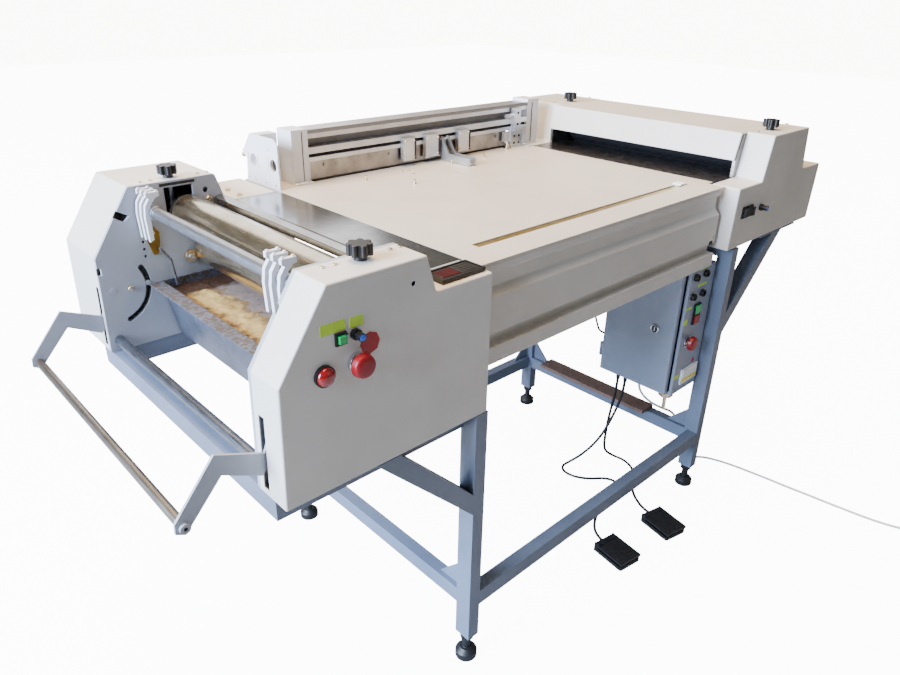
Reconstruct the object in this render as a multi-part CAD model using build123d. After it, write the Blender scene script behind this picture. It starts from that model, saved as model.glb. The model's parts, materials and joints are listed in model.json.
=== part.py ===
from build123d import *
import math
import os

os.makedirs("parts", exist_ok=True)

# Hardcover case-making line: a glue roller unit, a work table with a gauge fence and a press
# roller unit on one welded stand, with a control cabinet and two foot pedals.
# Millimetres. X runs from the glue unit to the press unit, Y from the front to the back, Z is up.
# Places are measured from the front left leg's outer corner on the floor, and the finished
# pieces are moved so that the origin is under the middle of the machine.
CENTRE = (410.5, 412.5)

# driving dimensions
TABLE_Z = 900.0
SHEET = 2.0
FOLD_R = 4.0
STAND_X = 943.0
STAND_Y = 663.0
LEG_X = 30.0
LEG_Y = 40.0
LEG_BOTTOM = 67.0
BEAM_BOTTOM = 591.0
BEAM_TOP = 631.0
PRESS_BOTTOM = 744.0
NEAR_PLATE = (72.0, 80.0)
FAR_PLATE = (677.0, 685.0)
COVER_BACK = 850.0
RUN = 0.05

GLUE_OUTLINE = [(-299.6, 962.9), (-118.3, 962.9), (-98.6, 900.4), (27.0, 900.4), (27.0, 631.0),
                (-391.0, 631.0), (-385.0, 833.6)]
PRESS_OUTLINE = [(1021.7, 1010.0), (1224.2, 1010.0), (1241.0, 899.5), (1354.0, 899.5),
                 (1348.5, PRESS_BOTTOM), (877.5, PRESS_BOTTOM), (884.5, 899.5), (1000.1, 899.5)]

UPPER_ROLLER = (-189.0, 890.0)
LOWER_ROLLER = (-146.0, 815.0)
UPPER_R = 42.0
LOWER_R = 43.0
STRIPPER = (-275.0, 920.0)
STRIPPER_R = 12.0
LEVER_PIVOT = (-364.0, 762.0)
LEVER_ARC_R = 72.0
TRAY_PIVOT = (-105.0, 762.0)
PRESS_X = 1098.0
PRESS_R = 45.0
PRESS_LOW_Z = 855.0
PRESS_TOP_Z = 946.0
JOURNAL_R = 12.0

DOOR = (767.0, 782.0)
CABINET_X = (784.0, 906.0)
CABINET_Y = (34.0, 257.0)
CABINET_Z = (350.0, 704.0)


def block(x0, x1, y0, y1, z0, z1):
    return Pos((x0 + x1) / 2, (y0 + y1) / 2, (z0 + z1) / 2) * Box(x1 - x0, y1 - y0, z1 - z0)


def rod_x(x0, x1, y, z, r):
    return Pos((x0 + x1) / 2, y, z) * Rot(0, 90, 0) * Cylinder(r, x1 - x0)


def rod_y(x, z, y0, y1, r):
    return Pos(x, (y0 + y1) / 2, z) * Rot(90, 0, 0) * Cylinder(r, y1 - y0)


def rod_z(x, y, z0, z1, r):
    return Pos(x, y, (z0 + z1) / 2) * Cylinder(r, z1 - z0)


def slab_y(points, y0, y1):
    """A flat piece with its outline in X and Z, from y0 to y1."""
    face = Plane((0, y0, 0), x_dir=(1, 0, 0), z_dir=(0, -1, 0)) * Polygon(*points, align=None)
    return extrude(face, amount=y1 - y0, dir=(0, 1, 0))


def slab_x(points, x0, x1):
    """A profile in Y and Z, drawn out along X."""
    face = Plane((x0, 0, 0), x_dir=(0, 1, 0), z_dir=(1, 0, 0)) * Polygon(*points, align=None)
    return extrude(face, amount=x1 - x0, dir=(1, 0, 0))


def folded_face(points, y):
    """A flat outline in X and Z with the corners rounded as a sheet's folds are."""
    outline = Polygon(*points, align=None)
    return Plane((0, y, 0), x_dir=(1, 0, 0), z_dir=(0, -1, 0)) * fillet(outline.vertices(), FOLD_R)


def shell_y(points, y0, y1, open_low, wall=SHEET):
    """A folded sheet box with one open side along Y."""
    face = folded_face(points, y0)
    outer = extrude(face, amount=y1 - y0, dir=(0, 1, 0))
    closed_end = outer.faces().sort_by(Axis.Y)[-1 if open_low else 0]
    outer = fillet(closed_end.edges(), FOLD_R - 0.5)
    inner = extrude(offset(face, -wall), amount=y1 - y0, dir=(0, 1, 0))
    shift = -wall if open_low else wall
    return outer - Pos(0, shift, 0) * inner


def joined(*pieces):
    whole = pieces[0]
    for piece in pieces[1:]:
        whole = whole + piece
    return whole


def cut(body, *tools):
    for tool in tools:
        body = body - tool
    return body


def save(name, *pieces):
    """Write one node, moved so that the origin is under the middle of the machine."""
    solids = []
    for piece in pieces:
        solids += list(piece.solids())
    moved = [Pos(-CENTRE[0], -CENTRE[1], 0) * solid for solid in solids]
    export_step(Compound(children=moved) if len(moved) > 1 else moved[0], f"parts/{name}.step")
    boxes = [solid.bounding_box() for solid in moved]
    low = [min(getattr(b.min, axis) for b in boxes) for axis in "XYZ"]
    high = [max(getattr(b.max, axis) for b in boxes) for axis in "XYZ"]
    print(name, len(moved), [round(v, 1) for v in low], [round(v, 1) for v in high])


# stand ------------------------------------------------------------------------------------

def stand_frame():
    right = STAND_X - LEG_X
    back = STAND_Y - LEG_Y
    legs = [
        block(0, LEG_X, 0, LEG_Y, LEG_BOTTOM, BEAM_TOP),
        block(0, LEG_X, back, STAND_Y, LEG_BOTTOM, 850),
        block(right, STAND_X, 0, LEG_Y, LEG_BOTTOM, 741),
        block(right, STAND_X, back, STAND_Y, LEG_BOTTOM, 850),
    ]
    lower = [
        block(LEG_X, right, 0, 30, 152, 189),
        block(LEG_X, right, STAND_Y - 30, STAND_Y, 152, 189),
        block(0, LEG_X, LEG_Y, back, 152, 189),
        block(right, STAND_X, LEG_Y, back, 152, 189),
    ]
    glue_base = [
        block(-388, LEG_X, 36, 76, BEAM_BOTTOM, BEAM_TOP),
        block(-388, LEG_X, 679, 727, BEAM_BOTTOM, BEAM_TOP),
        block(-388, -348, 36, 727, BEAM_BOTTOM, BEAM_TOP),
        block(0, LEG_X, 36, 727, BEAM_BOTTOM, BEAM_TOP),
        block(LEG_X, 102, 80, 116, BEAM_BOTTOM, BEAM_TOP),
        block(66, 102, 80, 116, BEAM_BOTTOM, 850),
    ]
    press_base = [
        block(66, 1268, 80, 116, 714, 744),
        block(right, 1268, 640, 676, 714, 744),
        block(right, STAND_X, 0, 676, 714, 741),
        block(1232, 1268, 80, 676, 714, 744),
        block(1057, 1268, -1, 116, 741, 744),
        block(1057, 1268, 630, 676, 741, 744),
    ]
    under_top = [
        block(36, 866, 60, 100, 850, 894),
        block(36, 876, 790, 830, 850, 894),
        block(36, 76, 60, 830, 850, 894),
        block(830, 866, 60, 830, 850, 894),
        block(830, 866, 80, 116, 744, 850),
        block(0, 900, back, STAND_Y, 850, 894),
        block(900, STAND_X, back, STAND_Y, 850, 869),
        block(790, 900, 84, 112, CABINET_Z[1], 714),
    ]
    braces = [
        slab_y([(0, 407), (0, 455), (-176, 631), (-224, 631)], 0, LEG_Y),
        slab_y([(20, 387), (20, 435), (-136, 591), (-184, 591)], STAND_Y, STAND_Y + 30),
        slab_y([(STAND_X, 500), (1184, 741), (1128, 741), (STAND_X, 556)], 0, LEG_Y),
        slab_y([(STAND_X, 500), (1184, 741), (1128, 741), (STAND_X, 556)], back, STAND_Y),
    ]
    return joined(*legs, *lower, *glue_base, *press_base, *under_top, *braces, *gussets())


def gussets():
    """Flat triangles in the corners between the legs and the lower rails."""
    size = 62
    pieces = []
    for x, way in ((LEG_X, 1), (STAND_X - LEG_X, -1)):
        pieces.append(slab_y([(x, 189), (x + way * size, 189), (x, 189 + size)], STAND_Y - 18, STAND_Y - 13))
    for x in (12, STAND_X - 18):
        for y, way in ((LEG_Y, 1), (STAND_Y - LEG_Y, -1)):
            pieces.append(slab_x([(y, 189), (y + way * size, 189), (y, 189 + size)], x, x + 5))
    return pieces


def levelling_foot(x, y):
    dome = Pos(x, y, 0) * extrude(Circle(24), amount=16)
    dome = dome + Pos(x, y, 21) * Cone(24, 14, 10)
    neck = rod_z(x, y, 26, LEG_BOTTOM - 16, 9)
    nut = Pos(x, y, LEG_BOTTOM - 16) * extrude(RegularPolygon(15, 6), amount=16)
    return joined(dome, neck, nut)


def rail_board():
    return block(885, 943, 165, 560, 189, 200)


# table ------------------------------------------------------------------------------------

SLOT = (100, 828, 106, 126)


def table_top():
    sheet = block(32, 899, 36, 835, 894, TABLE_Z)
    notch_near = block(876.5, 899, 36, 80, 890, 905)
    notch_far = block(876.5, 899, 667, 835, 890, 905)
    slot = block(*SLOT, 890, 905)
    drain = rod_z(386, 618, 890, 905, 5)
    small_holes = [rod_z(x, y, 890, 905, 2) for x, y in ((88, 338), (87, 321))]
    seam = block(474.6, 475.4, 331, 632, 899.4, 901) + block(426, 475.4, 631.2, 632, 899.4, 901)
    return cut(sheet, notch_near, notch_far, slot, drain, seam, *small_holes)


def front_fascia():
    """Two folded channels under the table's front edge, with a shadow gap between them."""
    outline = [(36, 894), (36, 882), (44, 876), (44, 850), (31, 835), (31, 763), (46, 763),
               (46, 738), (27, 738), (27, 704), (58, 704), (58, 894)]
    return slab_x(outline, 32, 864)


def rear_fascia():
    return block(36, 870, 830, 835, 740, 894)


def table_inserts():
    """Brass bar in a steel channel under the table's slot."""
    channel = block(92, 829.5, 101, 140, 872, 894) - block(*SLOT, 880, 895)
    bar = block(100, 795, 106, 119.7, 880, 899)
    return channel + bar


def slot_slider():
    head = fillet(block(797, 821, 109, 132, 900.3, 905).edges().filter_by(Axis.Z), 3)
    tongue = block(800, 818, 120.2, 125.6, 884, 900.3)
    return head + tongue


# glue unit --------------------------------------------------------------------------------

def control_holes():
    return [
        rod_y(-256, 833, -1, 3, 8.1),
        rod_y(-281, 878, -1, 3, 6.1),
        rod_y(-256, 878, -1, 3, 4.1),
        rod_y(-146, 925, -1, 3, 4),
        rod_y(-268, 881, -1, 3, 1.5),
    ]


def glue_front_cover():
    box = shell_y(GLUE_OUTLINE, 0, NEAR_PLATE[0], open_low=False)
    knob_hole = rod_z(-205, 50, 955, 970, 5 + RUN)
    lever_slot = block(-400, -370, 45, 60, 643, 770)
    return cut(box, knob_hole, lever_slot, *control_holes())


def glue_far_cover():
    box = shell_y(GLUE_OUTLINE, FAR_PLATE[1], COVER_BACK, open_low=True)
    knob_hole = rod_z(-205, 706, 955, 970, 5 + RUN)
    lever_slot = block(-400, -370, 690, 705, 643, 770)
    return cut(box, knob_hole, lever_slot)


def arc_slot(y0, y1):
    """The curved slot that the lever's pin runs in."""
    x, z = LEVER_PIVOT
    plane = Plane((x, y0, z), x_dir=(1, 0, 0), z_dir=(0, -1, 0))
    arc = CenterArc((0, 0), LEVER_ARC_R, -71, 101)
    return extrude(plane * SlotArc(arc, 12), amount=y1 - y0, dir=(0, 1, 0))


def glue_side_plate(y0, y1, far):
    plate = extrude(folded_face(GLUE_OUTLINE, y0), amount=y1 - y0, dir=(0, 1, 0))
    low, high = y0 - 1, y1 + 1
    tools = [
        rod_y(*UPPER_ROLLER, low, high, JOURNAL_R + RUN),
        rod_y(*LOWER_ROLLER, low, high, JOURNAL_R + RUN),
        rod_y(*STRIPPER, low, high, STRIPPER_R + RUN),
        rod_y(*LEVER_PIVOT, low, high, 6 + RUN),
        arc_slot(low, high),
        slab_y([(-345, 912), (-333, 922), (-305, 906), (-317, 896)], low, high),
    ]
    if far:
        tools.append(block(-230, -169, low, high, 893, 950))
        tools += [rod_y(-288, z, low, high, 3) for z in (849, 834, 819)]
        tools += [rod_y(-142, 933, low, high, 6), block(-386, -378, low, high, 798, 814)]
    plate = cut(plate, *tools)
    stub = rod_y(*TRAY_PIVOT, y1, y1 + 7, 6) if not far else rod_y(*TRAY_PIVOT, y0 - 7, y0, 6)
    return plate + stub


def glue_frame():
    tie_rod = rod_y(-371, 655, NEAR_PLATE[1], FAR_PLATE[0], 10)
    near = glue_side_plate(*NEAR_PLATE, False)
    far = glue_side_plate(*FAR_PLATE, True)
    return near, far, tie_rod, glue_scraper()


def feed_plate():
    sheet = block(-84, 31.8, NEAR_PLATE[1], FAR_PLATE[0], 894, TABLE_Z)
    outline = [(-128, 903), (-126, 915), (-112, 919), (-84, 906), (-84, 894), (-120, 898)]
    return sheet + slab_y(outline, NEAR_PLATE[1], FAR_PLATE[0])


def roller(centre, radius, y0, y1, journal_y0, journal_y1):
    body = chamfer(rod_y(*centre, y0, y1, radius).edges(), 1.5)
    return body + rod_y(*centre, journal_y0, journal_y1, JOURNAL_R)


def hook(y):
    """A flat stripper finger with a T head, clamped on the stripper shaft."""
    outline = [(-287, 950), (-287, 959), (-261, 959), (-261, 950), (-269, 948), (-276, 940),
               (-282, 930), (-284, 912), (-284, 880), (-284, 866), (-292, 862),
               (-293, 884), (-294, 912), (-291, 934), (-282, 947)]
    strip = slab_y(outline, y - 4, y + 4)
    bolts = [rod_z(x, y, 959, 961.5, 2.5) for x in (-283, -265)]
    return joined(strip, *bolts)


def stripper_set():
    shaft = rod_y(*STRIPPER, NEAR_PLATE[0], FAR_PLATE[1], STRIPPER_R)
    collars = [rod_y(*STRIPPER, y, y + 9, 15) for y in (96, 606)]
    hooks = [hook(y) for y in (180, 160, 136, 628, 648, 668)]
    shaft = joined(shaft, *collars)
    return [shaft] + [cut(piece, shaft) for piece in hooks]


def glue_scraper():
    """A thin drip plate on the far side plate, under the stripper shaft."""
    outline = [(-287, 902), (-281, 900), (-254, 864), (-256, 836), (-263, 818), (-272, 819), (-282, 857),
               (-287, 879)]
    return slab_y(outline, FAR_PLATE[0] - 4, FAR_PLATE[0])


TRAY_Y = (83.5, 672.0)


def glue_tray():
    y0, y1 = TRAY_Y
    outer = slab_y([(-268, 761), (-244, 635), (-120, 635), (-94.4, 761)], y0, y1)
    inner = slab_y([(-265.4, 762), (-241.9, 637.5), (-121.9, 637.5), (-98.6, 762)], y0 + 2.5, y1 - 2.5)
    lip = block(-293, -266, y0, y1, 758.5, 761)
    ears = [rod_y(*TRAY_PIVOT, y0, y0 + 2.5, 14), rod_y(*TRAY_PIVOT, y1 - 2.5, y1, 14)]
    tray = joined(cut(outer, inner), lip, *ears)
    return cut(tray, rod_y(*TRAY_PIVOT, y0 - 1, y1 + 1, 6 + RUN))


def glue_fill():
    y0, y1 = TRAY_Y
    outline = [(-241.6, 637.8), (-262, 745), (-102.2, 745), (-122.2, 637.8)]
    return slab_y(outline, y0 + 2.6, y1 - 2.6)


def level_probe():
    """Bent wire that dips in the glue, on a clip at the tray's far end wall."""
    path = FilletPolyline((-262, 664, 834), (-243, 664, 804), (-237, 664, 746), radius=12)
    wire = sweep(Plane(path @ 0, z_dir=path % 0) * Circle(2.7), path)
    return wire + block(-239.5, -233.5, 664, TRAY_Y[1] - 2.5, 745.3, 756)


LEVER_ARM = [(-376, 771), (-364, 776), (-350, 771), (-292, 769), (-286, 762), (-292, 755),
             (-348, 751), (-356, 735), (-372, 700), (-396, 673), (-457, 704), (-519, 634),
             (-533, 642), (-532, 658), (-464, 741), (-389, 709), (-378, 735)]


def lever_arm(y0, y1, pin_end, hub_end):
    arm = slab_y(LEVER_ARM, y0, y1)
    near, far = min(y0, pin_end), max(y1, pin_end)
    pin = rod_y(LEVER_PIVOT[0] + LEVER_ARC_R, LEVER_PIVOT[1], near, far, 5.5)
    hub = rod_y(*LEVER_PIVOT, min(y0, hub_end), max(y1, hub_end), 6)
    return joined(arm, pin, hub)


def tray_lever():
    near = lever_arm(49.5, 54.5, 81, 81)
    far = lever_arm(692.5, 697.5, 676, 676)
    bar = rod_y(-520, 648, 54.5, 692.5, 8)
    heads = [rod_y(-520, 648, 44, 49.5, 8), rod_y(-520, 648, 697.5, 703, 8)]
    return [joined(near, heads[0]), joined(far, heads[1]), bar]


def star_knob(x, y, z, stem_z):
    """A seven-lobed hand knob on a threaded stem."""
    lobes = Circle(15)
    for i in range(7):
        angle = math.radians(360 / 7 * i)
        lobes = lobes + Pos(15 * math.cos(angle), 15 * math.sin(angle)) * Circle(5)
    head = Pos(x, y, z + 8) * extrude(lobes, amount=18)
    neck = rod_z(x, y, z + 0.4, z + 8, 10)
    stem = rod_z(x, y, stem_z, z + 0.4, 5)
    return joined(head, neck, stem)


# press unit -------------------------------------------------------------------------------

def press_cover(y0, y1, open_low, knob_y):
    box = shell_y(PRESS_OUTLINE, y0, y1, open_low)
    tools = [rod_z(PRESS_X, knob_y, 1000, 1020, 5 + RUN)]
    if not open_low:
        tools += [rod_y(1017, 833, -1, 3, 4.1), rod_y(943.5, 834.5, -1, 3, 4)]
    return cut(box, *tools)


PRESS_NEAR = (72.0, 80.0)
PRESS_FAR = (665.0, 673.0)
HOOD = [(993, 1010), (975, 943), (982, 943), (999, 1004), (1211, 1004), (1222, 943), (1229, 943),
        (1218, 1010)]


def press_inner_frame():
    plates = []
    for y0, y1 in (PRESS_NEAR, PRESS_FAR):
        outline = [(1003, 1003), (1205, 1003), (1216, 943), (1216, 894), (1216, 744),
                   (905, 744), (905, 893.5), (985, 893.5), (985, 943)]
        plate = slab_y(outline, y0, y1)
        for z in (PRESS_LOW_Z, PRESS_TOP_Z):
            plate = plate - rod_y(PRESS_X, z, y0 - 1, y1 + 1, JOURNAL_R + RUN)
        plates.append(plate)
    entry = block(899.2, 1062, PRESS_NEAR[1], PRESS_FAR[0], 894, TABLE_Z)
    exit_plate = block(1134, 1350, PRESS_NEAR[1], PRESS_FAR[0], 894, TABLE_Z)
    legs = block(905, 921, PRESS_NEAR[1], PRESS_FAR[0], 870, 894)
    legs_exit = block(1190, 1206, PRESS_NEAR[1], PRESS_FAR[0], 870, 894)
    return joined(*plates, entry, exit_plate, legs, legs_exit)


def press_hood():
    return slab_y(HOOD, PRESS_NEAR[0], PRESS_FAR[1])


# fence ------------------------------------------------------------------------------------

RAIL = [(706, 1022), (706, 1012), (710, 1012), (710, 1001), (732, 1001), (732, 981), (706, 981),
        (706, 966), (716, 966), (716, 958), (706, 958), (706, 948), (762, 948), (762, 1022)]


def fence_posts():
    left = block(90, 134, 706, 768, TABLE_Z, 1024) - block(117, 119, 705, 730, 905, 1020)
    right = block(907, 958, 706, 768, 899.5, 1030) - block(926, 930, 705, 735, 905, 1022)
    web = block(134, 140, 712, 760, TABLE_Z, 948)
    return left + right + web


def fence_end_bracket():
    """Stacked plates and a round stop beside the right-hand post."""
    pieces = [
        block(826, 876, 694, 706, TABLE_Z, 948),
        block(836, 862, 690, 706, 948, 1012),
        rod_x(806, 836, 699, 990, 6),
        block(800, 826, 697, 706, 918, 946),
    ]
    return joined(*pieces)


def fence_rail():
    return slab_x(RAIL, 134, 907)


def fence_back_plate():
    plate = block(140, 823, 712, 715, TABLE_Z, 948)
    screws = [rod_y(x, 935, 709, 712, 4) for x in (180, 380, 580, 780)]
    return joined(plate, *screws)


def fence_end_housing():
    """The left-hand housing of the fence drive: a side plate with round openings, each between two
    upright slits, and a closed box behind the post."""
    outline = [(683, TABLE_Z), (683, 1000), (700, 1012), (803, 1012), (835, 975), (846, 966), (826, 951),
               (832, TABLE_Z)]
    plate = slab_x(outline, 38, 42)
    box = slab_x([(770, TABLE_Z), (770, 1012), (803, 1012), (826, 985), (826, TABLE_Z)], 42, 90)
    tools = []
    for y, z, r in ((795, 951, 15), (706, 952, 14)):
        tools.append(rod_x(37, 60, y, z, r))
        tools += [block(37, 46, y + dy - 1.2, y + dy + 1.2, z - 16, z + 16) for dy in (-21, 21)]
    return cut(plate + box, *tools)


def carriage(x0, x1):
    """A gauge carriage that hangs in the rail's groove."""
    plate = block(x0, x1, 692, 705.6, 914, 972)
    tongue = block(x0 + 3, x1 - 3, 705.6, 712, 959, 965)
    return joined(plate, tongue)


FINGER_PIVOT = (698.0, 956.0)


def gauge_carriage_middle():
    y, z = FINGER_PIVOT
    return joined(carriage(490, 540), rod_x(540, 574, y, z, 3))


def gauge_finger():
    """A folding finger: two side plates and a floor, hung on the carriage's pin."""
    y, z = FINGER_PIVOT
    side = [(704, 958), (698, 963), (691, 962), (664, 921), (584, 921), (584, 901.5), (694, 901.5)]
    plates = [slab_x(side, x, x + 4) for x in (546, 569)]
    floor = block(550, 569, 590, 688, 901.5, 904)
    finger = joined(*plates, floor)
    return finger - rod_x(540, 580, y, z, 3 + RUN)


# cabinet ----------------------------------------------------------------------------------

HINGE = (777, 262)
HINGE_Z = (390, 620)


def cabinet_body():
    x0, x1 = CABINET_X
    y0, y1 = CABINET_Y
    z0, z1 = CABINET_Z
    case = fillet(block(x0, x1, y0, y1, z0, z1).edges().filter_by(Axis.Z), 4)
    room = block(x0 - 1, x1 - 2, y0 + 8, y1 - 8, z0 + 8, z1 - 8)
    tools = [rod_y(815, 503, y0 - 1, y0 + 9, 8.1)]
    tools += [rod_y(840, z, y0 - 1, y0 + 9, 6.1) for z in (590, 562)]
    case = cut(case, room, *tools)
    for z in HINGE_Z:
        leaf = block(777, 800, 257, 260, z, z + 20)
        case = joined(case, leaf, rod_z(*HINGE, z, z + 20, 5.5), rod_z(*HINGE, z, z + 40, 4))
    return case


def cabinet_door():
    x0, x1 = DOOR
    slab = fillet(block(x0, x1, 45, 255, 354, 698).edges().filter_by(Axis.Z), 3)
    room = block(x0 + 2, x1 + 1, 49, 250, 358, 694)
    lock_pad = block(x0 + 2, x1, 88, 112, 520, 544)
    slab = cut(slab, room) + lock_pad
    for z in HINGE_Z:
        arm = block(771.5, 773, 250, 262, z + 20.4, z + 40)
        knuckle = joined(arm, rod_z(*HINGE, z + 20.4, z + 40, 5.5))
        slab = slab + cut(knuckle, rod_z(*HINGE, z, z + 50, 4 + RUN))
    return cut(slab, rod_x(x0 - 1, x1 + 1, 100, 532, 5 + RUN))


def door_lock():
    barrel = rod_x(763, 766.7, 100, 532, 12)
    stem = rod_x(766.7, 781, 100, 532, 5)
    return cut(barrel + stem, block(762, 764.5, 98.8, 101.2, 527, 537))


def panel_meter():
    return block(-76, 20, 12, 60, 900.4, 908) - block(-72, 16, 16, 56, 906.5, 909)


def pilot_lamp():
    bezel = rod_y(-312, 830, -6, 0, 16.5)
    return bezel + rod_y(-312, 830, -9, -6, 12)


SOCKETS = [(854, 684), (807, 683), (852, 631), (807, 631)]


def panel_fittings():
    """Connector sockets, the mains outlet, glands and the rings round the controls."""
    face = CABINET_Y[0]
    pieces = [rod_y(x, z, face - 8, face, 9.5) - rod_y(x, z, face - 9, face - 4, 6.5) for x, z in SOCKETS]
    pieces.append(block(815, 895, face - 5, face, 373, 418))
    pieces.append(rod_y(815, 503, face - 9, face, 14) - rod_y(815, 503, face - 10, face + 1, 8.1))
    frame = block(825, 855, face - 5, face, 548, 604)
    for z in (590, 562):
        frame = frame - block(828, 852, face - 6, face + 1, z - 12, z + 12)
    pieces.append(frame)
    nut = Pos(800, 58, 336) * extrude(RegularPolygon(20, 6), amount=14)
    pieces.append(nut + rod_z(800, 58, 294, 336, 5))
    gland = [rod_z(x, y, 342, 350, 9) for x, y in ((832, 160), (806, 190), (806, 214))]
    pieces += gland
    ring = rod_y(-256, 833, -9, 0, 14) - rod_y(-256, 833, -10, 1, 8.1)
    bezel = block(-290.5, -271.5, -4, 0, 868.5, 887.5) - block(-287.4, -274.6, -5, 1, 871.6, 884.4)
    rocker_frame = block(917, 970, -3, 0, 820, 849) - block(920, 967, -4, 1, 823, 846)
    rocker_frame = rocker_frame - rod_z(943.5, -1.8, 819, 850, 0.9 + RUN)
    return pieces + [ring, bezel, rocker_frame, panel_meter(), pilot_lamp()]


def mushroom(x, z, face):
    """An emergency stop head on its stem."""
    head = Pos(x, face - 13, z) * Rot(90, 0, 0) * extrude(Circle(20), amount=12, taper=12)
    neck = rod_y(x, z, face - 13, face + 5, 8)
    return head + neck


def square_button(x, z, face, half, stem):
    cap = block(x - half, x + half, face - 9, face - 3, z - half, z + half)
    return cap + rod_y(x, z, face - 3, face + 4, stem)


def push_button(z):
    face = CABINET_Y[0]
    cap = block(828.5, 851.5, face - 8, face - 3.2, z - 11.5, z + 11.5)
    return cap + rod_y(840, z, face - 3.2, face + 4, 6)


def pot_knob(x, z):
    skirt = rod_y(x, z, -7, -0.8, 8.5)
    grip = rod_y(x, z, -20, -7, 6.5)
    return joined(skirt, grip, rod_y(x, z, -0.8, 3, 4 - RUN))


def rocker_switch():
    """A wide rocker on a thin upright pin in its frame."""
    outline = [(921.5, -4.5), (921.5, -10), (943.5, -7.5), (965.5, -12), (965.5, -4.5)]
    face = Plane((0, 0, 823.5)) * Polygon(*outline, align=None)
    body = extrude(face, amount=22, dir=(0, 0, 1))
    web = block(942, 945, -4.5, -1.5, 823.5, 845.5)
    return joined(body, web, rod_z(943.5, -1.8, 820.5, 848.5, 0.9))


def label_plates():
    """Plain coloured label blanks, a blank octagon behind the stop knob and a blank triangle."""
    low = -0.5
    plates = [
        block(-313, -272, low, 0, 889.5, 906),
        block(-264, -241, low, 0, 888, 904),
    ]
    octagon = Plane((-230, 0, 855), x_dir=(1, 0, 0), z_dir=(0, -1, 0)) * RegularPolygon(18, 8)
    plates.append(extrude(octagon, amount=0.5, dir=(0, -1, 0)))
    face = CABINET_Y[0]
    for x0, x1, z0, z1 in ((828, 866, 697, 703), (828, 870, 652, 658), (786, 812, 597, 603),
                           (786, 803, 556, 570), (786, 808, 396, 408)):
        plates.append(block(x0, x1, face - 0.5, face, z0, z1))
    plates.append(slab_y([(862, 424), (880, 424), (871, 440)], face - 0.5, face))
    return plates


def lay_pin(x, y):
    """A register pin with a thin flange, let in the table top."""
    return rod_z(x, y, TABLE_Z, TABLE_Z + 10, 3.2) + rod_z(x, y, TABLE_Z, TABLE_Z + 1.5, 4.5)


def fasteners():
    """Screw heads on the covers, plates and housing, and the table's register pins."""
    heads = []
    for x in (-267, -246, -145, -125):
        for y in (56, 700):
            heads.append(rod_z(x, y, 962.9, 965.4, 4))
    for x, y in ((1040, 55), (1221, 60), (1040, 710), (1218, 710)):
        heads.append(rod_z(x, y, 1010, 1012.5, 4))
    for y in (705, 760):
        heads.append(rod_z(-52, y, 900.4, 905, 6))
    heads.append(rod_y(-196, 800, FAR_PLATE[0] - 8, FAR_PLATE[0], 13))
    heads.append(rod_y(-139, 915, FAR_PLATE[0] - 5, FAR_PLATE[0], 7))
    heads.append(rod_y(-330, 760, FAR_PLATE[0] - 4, FAR_PLATE[0], 5))
    heads += [rod_z(x, 652, TABLE_Z, TABLE_Z + 2, 3.5) for x in (372, 394)]
    heads += [lay_pin(x, y) for x, y in ((250, 641), (535, 639), (666, 647), (318, 539))]
    return heads


# free cords -------------------------------------------------------------------------------

PEDAL_CORD = 8.0
MAINS_CORD = 7.0
PEDAL_ROUTE_1 = [(806, 190, 342), (806, 190, 300), (802, 196, 250), (792, 206, 200), (780, 218, 152),
                 (769, 234, 110), (760, 256, 72), (752, 280, 38), (738, 302, 14), (716, 311, 5),
                 (698, 296, 5), (694, 268, 5), (705, 238, 5), (727, 211, 5), (756, 190, 5),
                 (772, 164, 5), (764, 136, 5), (732, 118, 5), (690, 110, 5), (645, 111, 5),
                 (600, 99, 5), (562, 78, 5), (536, 50, 6), (525.9, 22, 10)]
PEDAL_ROUTE_2 = [(806, 214, 342), (806, 214, 300), (808, 219, 250), (808, 226, 200), (811, 232, 150),
                 (818, 238, 100), (832, 246, 56), (854, 249, 24), (876, 234, 6), (883, 200, 5),
                 (868, 160, 5), (836, 130, 5), (796, 110, 5), (764, 88, 5), (742, 58, 5),
                 (726, 30, 6), (716.2, 0.4, 10)]
MAINS_ROUTE = [(832, 160, 342), (832, 160, 318), (836, 157, 296), (848, 146, 272), (868, 128, 250),
               (894, 108, 232), (924, 98, 216), (950, 94, 192), (968, 90, 152), (986, 86, 108),
               (1010, 80, 60), (1038, 71, 20), (1062, 62, 4), (1085, 42, 4), (1103, 0, 4),
               (1114, -46, 4), (1121, -96, 4), (1128, -150, 4), (1133, -206, 4), (1141, -262, 4),
               (1147, -318, 4), (1155, -376, 4), (1164, -434, 4), (1180, -488, 4), (1207, -532, 4)]
PLUG_TAIL = [(1240, -592, 16), (1262, -601, 15), (1284, -606, 13), (1304, -608, 12.5)]


def tube(points, diameter):
    """A cord's tube: straight runs joined by arcs as large as the runs allow."""
    vectors = [Vector(*p) for p in points]
    radii = []
    for a, b, c in zip(vectors, vectors[1:], vectors[2:]):
        turn = math.radians((b - a).get_angle(c - b))
        radii.append(0.45 * min((b - a).length, (c - b).length) / math.tan(turn / 2))
    path = FilletPolyline(*vectors, radius=radii)
    solid = sweep(Plane(path @ 0, z_dir=path % 0) * Circle(diameter / 2), path)
    section = math.pi * diameter ** 2 / 4
    print("  route", round(path.length), "mm, smallest radius", round(min(radii), 1), "of", diameter,
          "volume ratio", round(solid.volume / (section * path.length), 3))
    return solid


def on_ring(centre, radius, z0, z1, inner):
    ring = Pos(*centre, 0) * (Circle(radius) - Circle(inner))
    return Pos(0, 0, z0) * extrude(ring, amount=z1 - z0)


COIL_CENTRE = (1254.0, -548.0)


def mains_coil():
    """The put-away turns as one ring, and the cord's tail to the plug."""
    return on_ring(COIL_CENTRE, 50, 0.5, 22, 27) + tube(PLUG_TAIL, MAINS_CORD)


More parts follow.
